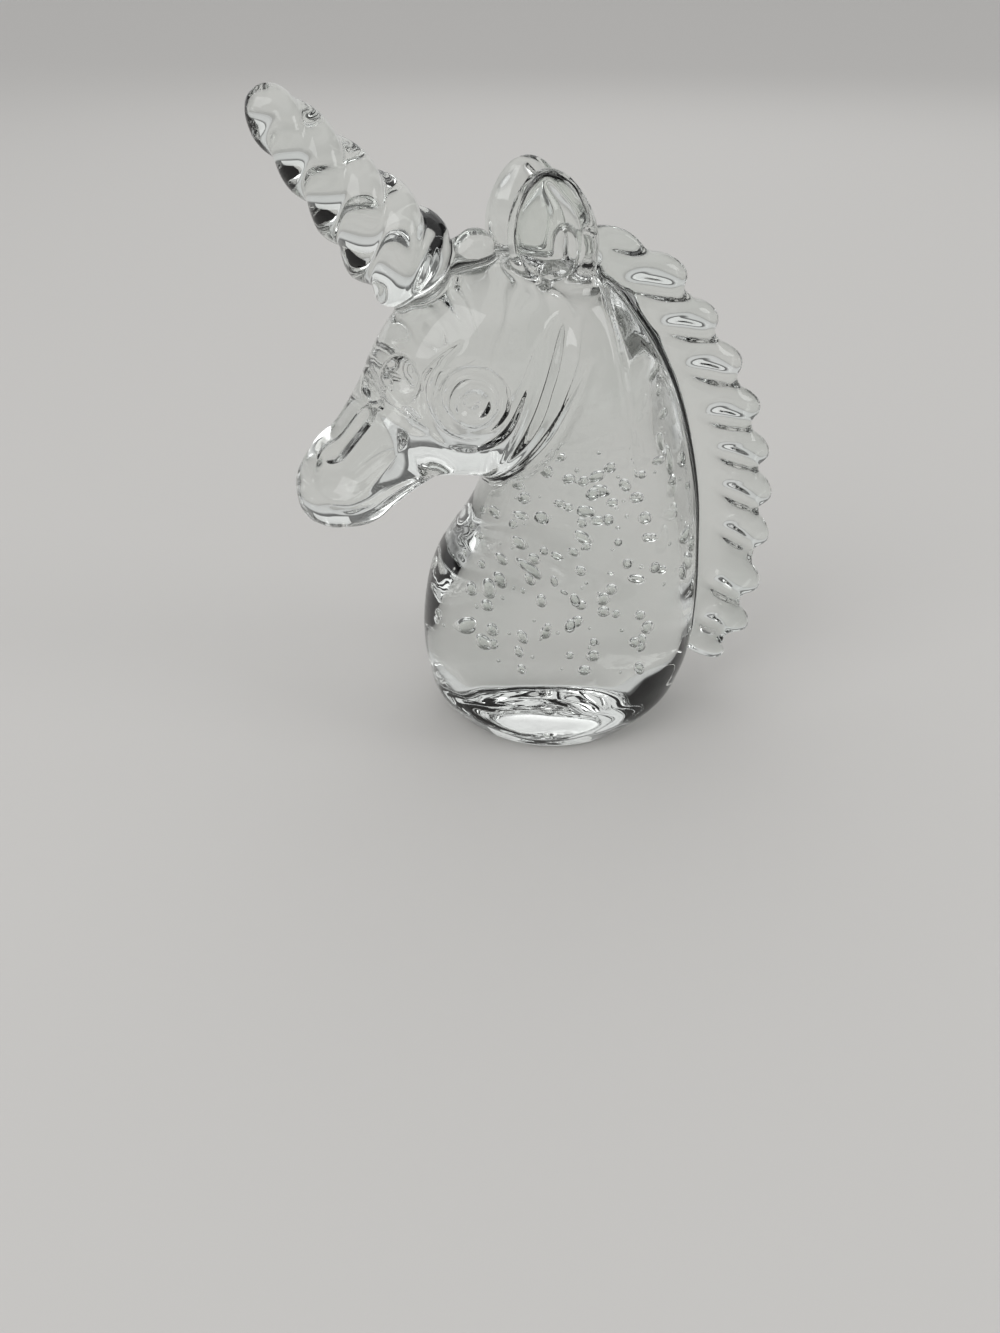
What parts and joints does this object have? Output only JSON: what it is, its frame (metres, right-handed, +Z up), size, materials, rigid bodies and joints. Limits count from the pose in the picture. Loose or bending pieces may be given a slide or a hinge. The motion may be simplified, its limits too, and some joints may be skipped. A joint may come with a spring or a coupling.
{
  "type": "glass unicorn figurine",
  "caption": "Clear hot-worked glass bust of a unicorn on a ground flat, with a bubbled core, a rope-twisted horn, cupped ears and a crimped mane.",
  "frame": {"origin": "centre of the ground flat that the figurine stands on", "axes": "+Z up through the neck, -X the way the face and horn point, +Y across to the right side; the XZ plane is the symmetry plane"},
  "size_m": [0.1314, 0.0684, 0.1645],
  "materials": {
    "clear_glass": "fire-polished clear glass, faintly green where it is thick",
    "bubbled_glass": "clear glass with trapped air bubbles"
  },
  "bodies": {
    "root": {"bubble_core": "bubbled_glass", "neck_casing": "clear_glass", "head": "clear_glass", "horn": "clear_glass", "forelock": "clear_glass", "left_ear": "clear_glass", "right_ear": "clear_glass", "mane": "clear_glass", "left_eye": "clear_glass", "right_eye": "clear_glass"}
  },
  "joints": []
}
